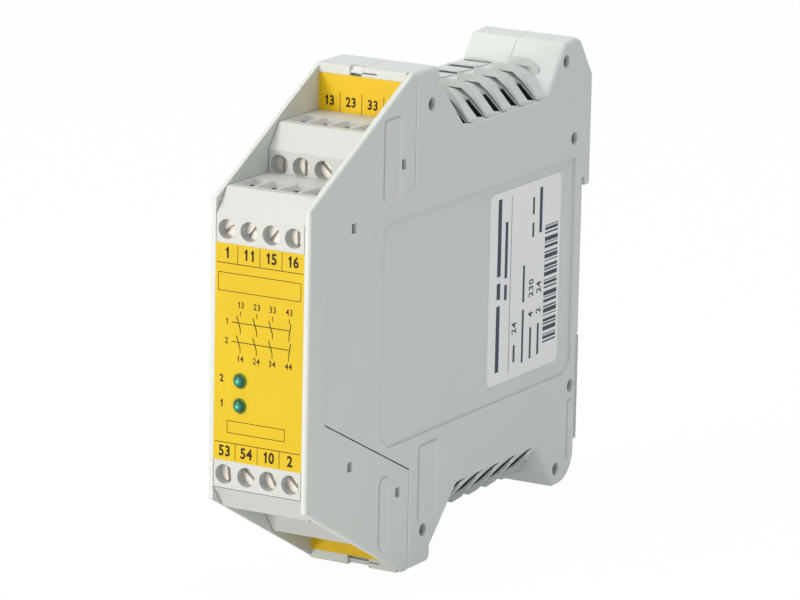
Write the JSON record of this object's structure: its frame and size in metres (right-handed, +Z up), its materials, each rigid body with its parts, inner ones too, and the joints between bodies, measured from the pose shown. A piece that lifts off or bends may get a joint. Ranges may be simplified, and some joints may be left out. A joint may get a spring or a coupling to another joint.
{
  "type": "safety relay",
  "caption": "Narrow rail-mounted safety relay: light grey two-part housing, stepped screw terminals above and below, yellow label, green indicators, louvred vents.",
  "frame": {"origin": "centre of the rail seat, the flat back that lies on the rail", "axes": "+Y towards the rail, +Z up, +X to the right seen from the front"},
  "size_m": [0.0226, 0.116, 0.102],
  "materials": {
    "housing_grey": "fine satin moulding",
    "frame_light": "fine satin moulding",
    "block_light": "fine satin moulding",
    "contact_metal": "tinned brass strip",
    "screw_metal": "nickel plated",
    "clamp_metal": "nickel plated",
    "label_yellow": "printed film",
    "strip_yellow": "printed strip",
    "lens_green": "clear tinted lens",
    "sticker_white": "printed sticker",
    "board_green": "solder resist",
    "relay_case": "sealed case",
    "capacitor_sleeve": "shrink sleeve",
    "fuse_coat": "dipped coat",
    "spring_steel": "drawn wire",
    "latch_grey": "fine satin moulding"
  },
  "bodies": {
    "housing": {"right_housing_shell": "housing_grey", "left_housing_shell": "housing_grey", "front_frame": "frame_light", "upper_front_terminal_block": "block_light", "upper_rear_terminal_block": "block_light", "lower_front_terminal_block": "block_light", "lower_rear_terminal_block": "block_light", "upper_front_contact_bars": "contact_metal", "upper_rear_contact_bars": "contact_metal", "lower_front_contact_bars": "contact_metal", "lower_rear_contact_bars": "contact_metal", "front_label": "label_yellow", "upper_label_strip": "strip_yellow", "lower_label_strip": "strip_yellow", "upper_indicator_lens": "lens_green", "lower_indicator_lens": "lens_green", "rating_sticker": "sticker_white", "indicator_board": "board_green", "terminal_board": "board_green", "main_board": "board_green", "first_sealed_relay": "relay_case", "second_sealed_relay": "relay_case", "capacitor": "capacitor_sleeve", "resettable_fuse": "fuse_coat", "latch_spring": "spring_steel"},
    "latch": {"rail_latch": "latch_grey"},
    "upper_front_screw_1": {"upper_front_terminal_screw_1": "screw_metal"},
    "upper_front_clamp_1": {"upper_front_wire_clamp_1": "clamp_metal"},
    "upper_front_screw_2": {"upper_front_terminal_screw_2": "screw_metal"},
    "upper_front_clamp_2": {"upper_front_wire_clamp_2": "clamp_metal"},
    "upper_front_screw_3": {"upper_front_terminal_screw_3": "screw_metal"},
    "upper_front_clamp_3": {"upper_front_wire_clamp_3": "clamp_metal"},
    "upper_front_screw_4": {"upper_front_terminal_screw_4": "screw_metal"},
    "upper_front_clamp_4": {"upper_front_wire_clamp_4": "clamp_metal"},
    "upper_rear_screw_1": {"upper_rear_terminal_screw_1": "screw_metal"},
    "upper_rear_clamp_1": {"upper_rear_wire_clamp_1": "clamp_metal"},
    "upper_rear_screw_2": {"upper_rear_terminal_screw_2": "screw_metal"},
    "upper_rear_clamp_2": {"upper_rear_wire_clamp_2": "clamp_metal"},
    "upper_rear_screw_3": {"upper_rear_terminal_screw_3": "screw_metal"},
    "upper_rear_clamp_3": {"upper_rear_wire_clamp_3": "clamp_metal"},
    "upper_rear_screw_4": {"upper_rear_terminal_screw_4": "screw_metal"},
    "upper_rear_clamp_4": {"upper_rear_wire_clamp_4": "clamp_metal"},
    "lower_front_screw_1": {"lower_front_terminal_screw_1": "screw_metal"},
    "lower_front_clamp_1": {"lower_front_wire_clamp_1": "clamp_metal"},
    "lower_front_screw_2": {"lower_front_terminal_screw_2": "screw_metal"},
    "lower_front_clamp_2": {"lower_front_wire_clamp_2": "clamp_metal"},
    "lower_front_screw_3": {"lower_front_terminal_screw_3": "screw_metal"},
    "lower_front_clamp_3": {"lower_front_wire_clamp_3": "clamp_metal"},
    "lower_front_screw_4": {"lower_front_terminal_screw_4": "screw_metal"},
    "lower_front_clamp_4": {"lower_front_wire_clamp_4": "clamp_metal"},
    "lower_rear_screw_1": {"lower_rear_terminal_screw_1": "screw_metal"},
    "lower_rear_clamp_1": {"lower_rear_wire_clamp_1": "clamp_metal"},
    "lower_rear_screw_2": {"lower_rear_terminal_screw_2": "screw_metal"},
    "lower_rear_clamp_2": {"lower_rear_wire_clamp_2": "clamp_metal"},
    "lower_rear_screw_3": {"lower_rear_terminal_screw_3": "screw_metal"},
    "lower_rear_clamp_3": {"lower_rear_wire_clamp_3": "clamp_metal"},
    "lower_rear_screw_4": {"lower_rear_terminal_screw_4": "screw_metal"},
    "lower_rear_clamp_4": {"lower_rear_wire_clamp_4": "clamp_metal"}
  },
  "joints": [
    {"name": "upper_front_screw_1_turn", "type": "hinge", "parent": "housing", "child": "upper_front_screw_1", "pos_m": [-0.0075, -0.1089, 0.02435], "axis": [0, 1, 0], "range_deg": [0, 1440]},
    {"name": "upper_front_clamp_1_slide", "type": "slide", "parent": "housing", "child": "upper_front_clamp_1", "axis": [0, -1, 0], "range_m": [0, 0.002]},
    {"name": "upper_front_screw_2_turn", "type": "hinge", "parent": "housing", "child": "upper_front_screw_2", "pos_m": [-0.0025, -0.1089, 0.02435], "axis": [0, 1, 0], "range_deg": [0, 1440]},
    {"name": "upper_front_clamp_2_slide", "type": "slide", "parent": "housing", "child": "upper_front_clamp_2", "axis": [0, -1, 0], "range_m": [0, 0.002]},
    {"name": "upper_front_screw_3_turn", "type": "hinge", "parent": "housing", "child": "upper_front_screw_3", "pos_m": [0.0025, -0.1089, 0.02435], "axis": [0, 1, 0], "range_deg": [0, 1440]},
    {"name": "upper_front_clamp_3_slide", "type": "slide", "parent": "housing", "child": "upper_front_clamp_3", "axis": [0, -1, 0], "range_m": [0, 0.002]},
    {"name": "upper_front_screw_4_turn", "type": "hinge", "parent": "housing", "child": "upper_front_screw_4", "pos_m": [0.0075, -0.1089, 0.02435], "axis": [0, 1, 0], "range_deg": [0, 1440]},
    {"name": "upper_front_clamp_4_slide", "type": "slide", "parent": "housing", "child": "upper_front_clamp_4", "axis": [0, -1, 0], "range_m": [0, 0.002]},
    {"name": "upper_rear_screw_1_turn", "type": "hinge", "parent": "housing", "child": "upper_rear_screw_1", "pos_m": [-0.0075, -0.0898, 0.0338], "axis": [0, 1, 0], "range_deg": [0, 1440]},
    {"name": "upper_rear_clamp_1_slide", "type": "slide", "parent": "housing", "child": "upper_rear_clamp_1", "axis": [0, -1, 0], "range_m": [0, 0.002]},
    {"name": "upper_rear_screw_2_turn", "type": "hinge", "parent": "housing", "child": "upper_rear_screw_2", "pos_m": [-0.0025, -0.0898, 0.0338], "axis": [0, 1, 0], "range_deg": [0, 1440]},
    {"name": "upper_rear_clamp_2_slide", "type": "slide", "parent": "housing", "child": "upper_rear_clamp_2", "axis": [0, -1, 0], "range_m": [0, 0.002]},
    {"name": "upper_rear_screw_3_turn", "type": "hinge", "parent": "housing", "child": "upper_rear_screw_3", "pos_m": [0.0025, -0.0898, 0.0338], "axis": [0, 1, 0], "range_deg": [0, 1440]},
    {"name": "upper_rear_clamp_3_slide", "type": "slide", "parent": "housing", "child": "upper_rear_clamp_3", "axis": [0, -1, 0], "range_m": [0, 0.002]},
    {"name": "upper_rear_screw_4_turn", "type": "hinge", "parent": "housing", "child": "upper_rear_screw_4", "pos_m": [0.0075, -0.0898, 0.0338], "axis": [0, 1, 0], "range_deg": [0, 1440]},
    {"name": "upper_rear_clamp_4_slide", "type": "slide", "parent": "housing", "child": "upper_rear_clamp_4", "axis": [0, -1, 0], "range_m": [0, 0.002]},
    {"name": "lower_front_screw_1_turn", "type": "hinge", "parent": "housing", "child": "lower_front_screw_1", "pos_m": [-0.0075, -0.1089, -0.0246], "axis": [0, 1, 0], "range_deg": [0, 1440]},
    {"name": "lower_front_clamp_1_slide", "type": "slide", "parent": "housing", "child": "lower_front_clamp_1", "axis": [0, -1, 0], "range_m": [0, 0.002]},
    {"name": "lower_front_screw_2_turn", "type": "hinge", "parent": "housing", "child": "lower_front_screw_2", "pos_m": [-0.0025, -0.1089, -0.0246], "axis": [0, 1, 0], "range_deg": [0, 1440]},
    {"name": "lower_front_clamp_2_slide", "type": "slide", "parent": "housing", "child": "lower_front_clamp_2", "axis": [0, -1, 0], "range_m": [0, 0.002]},
    {"name": "lower_front_screw_3_turn", "type": "hinge", "parent": "housing", "child": "lower_front_screw_3", "pos_m": [0.0025, -0.1089, -0.0246], "axis": [0, 1, 0], "range_deg": [0, 1440]},
    {"name": "lower_front_clamp_3_slide", "type": "slide", "parent": "housing", "child": "lower_front_clamp_3", "axis": [0, -1, 0], "range_m": [0, 0.002]},
    {"name": "lower_front_screw_4_turn", "type": "hinge", "parent": "housing", "child": "lower_front_screw_4", "pos_m": [0.0075, -0.1089, -0.0246], "axis": [0, 1, 0], "range_deg": [0, 1440]},
    {"name": "lower_front_clamp_4_slide", "type": "slide", "parent": "housing", "child": "lower_front_clamp_4", "axis": [0, -1, 0], "range_m": [0, 0.002]},
    {"name": "lower_rear_screw_1_turn", "type": "hinge", "parent": "housing", "child": "lower_rear_screw_1", "pos_m": [-0.0075, -0.0898, -0.03405], "axis": [0, 1, 0], "range_deg": [0, 1440]},
    {"name": "lower_rear_clamp_1_slide", "type": "slide", "parent": "housing", "child": "lower_rear_clamp_1", "axis": [0, -1, 0], "range_m": [0, 0.002]},
    {"name": "lower_rear_screw_2_turn", "type": "hinge", "parent": "housing", "child": "lower_rear_screw_2", "pos_m": [-0.0025, -0.0898, -0.03405], "axis": [0, 1, 0], "range_deg": [0, 1440]},
    {"name": "lower_rear_clamp_2_slide", "type": "slide", "parent": "housing", "child": "lower_rear_clamp_2", "axis": [0, -1, 0], "range_m": [0, 0.002]},
    {"name": "lower_rear_screw_3_turn", "type": "hinge", "parent": "housing", "child": "lower_rear_screw_3", "pos_m": [0.0025, -0.0898, -0.03405], "axis": [0, 1, 0], "range_deg": [0, 1440]},
    {"name": "lower_rear_clamp_3_slide", "type": "slide", "parent": "housing", "child": "lower_rear_clamp_3", "axis": [0, -1, 0], "range_m": [0, 0.002]},
    {"name": "lower_rear_screw_4_turn", "type": "hinge", "parent": "housing", "child": "lower_rear_screw_4", "pos_m": [0.0075, -0.0898, -0.03405], "axis": [0, 1, 0], "range_deg": [0, 1440]},
    {"name": "lower_rear_clamp_4_slide", "type": "slide", "parent": "housing", "child": "lower_rear_clamp_4", "axis": [0, -1, 0], "range_m": [0, 0.002]},
    {"name": "latch_slide", "type": "slide", "parent": "housing", "child": "latch", "axis": [0, 0, -1], "range_m": [0, 0.003], "stiffness_N_per_m": 1200, "springref_m": -0.004, "deforming": ["latch_spring"]}
  ],
  "couplings": [
    {"joint": "upper_front_screw_1_turn", "follows": "upper_front_clamp_1_slide", "rad_per_m": 12566},
    {"joint": "upper_front_screw_2_turn", "follows": "upper_front_clamp_2_slide", "rad_per_m": 12566},
    {"joint": "upper_front_screw_3_turn", "follows": "upper_front_clamp_3_slide", "rad_per_m": 12566},
    {"joint": "upper_front_screw_4_turn", "follows": "upper_front_clamp_4_slide", "rad_per_m": 12566},
    {"joint": "upper_rear_screw_1_turn", "follows": "upper_rear_clamp_1_slide", "rad_per_m": 12566},
    {"joint": "upper_rear_screw_2_turn", "follows": "upper_rear_clamp_2_slide", "rad_per_m": 12566},
    {"joint": "upper_rear_screw_3_turn", "follows": "upper_rear_clamp_3_slide", "rad_per_m": 12566},
    {"joint": "upper_rear_screw_4_turn", "follows": "upper_rear_clamp_4_slide", "rad_per_m": 12566},
    {"joint": "lower_front_screw_1_turn", "follows": "lower_front_clamp_1_slide", "rad_per_m": 12566},
    {"joint": "lower_front_screw_2_turn", "follows": "lower_front_clamp_2_slide", "rad_per_m": 12566},
    {"joint": "lower_front_screw_3_turn", "follows": "lower_front_clamp_3_slide", "rad_per_m": 12566},
    {"joint": "lower_front_screw_4_turn", "follows": "lower_front_clamp_4_slide", "rad_per_m": 12566},
    {"joint": "lower_rear_screw_1_turn", "follows": "lower_rear_clamp_1_slide", "rad_per_m": 12566},
    {"joint": "lower_rear_screw_2_turn", "follows": "lower_rear_clamp_2_slide", "rad_per_m": 12566},
    {"joint": "lower_rear_screw_3_turn", "follows": "lower_rear_clamp_3_slide", "rad_per_m": 12566},
    {"joint": "lower_rear_screw_4_turn", "follows": "lower_rear_clamp_4_slide", "rad_per_m": 12566}
  ]
}
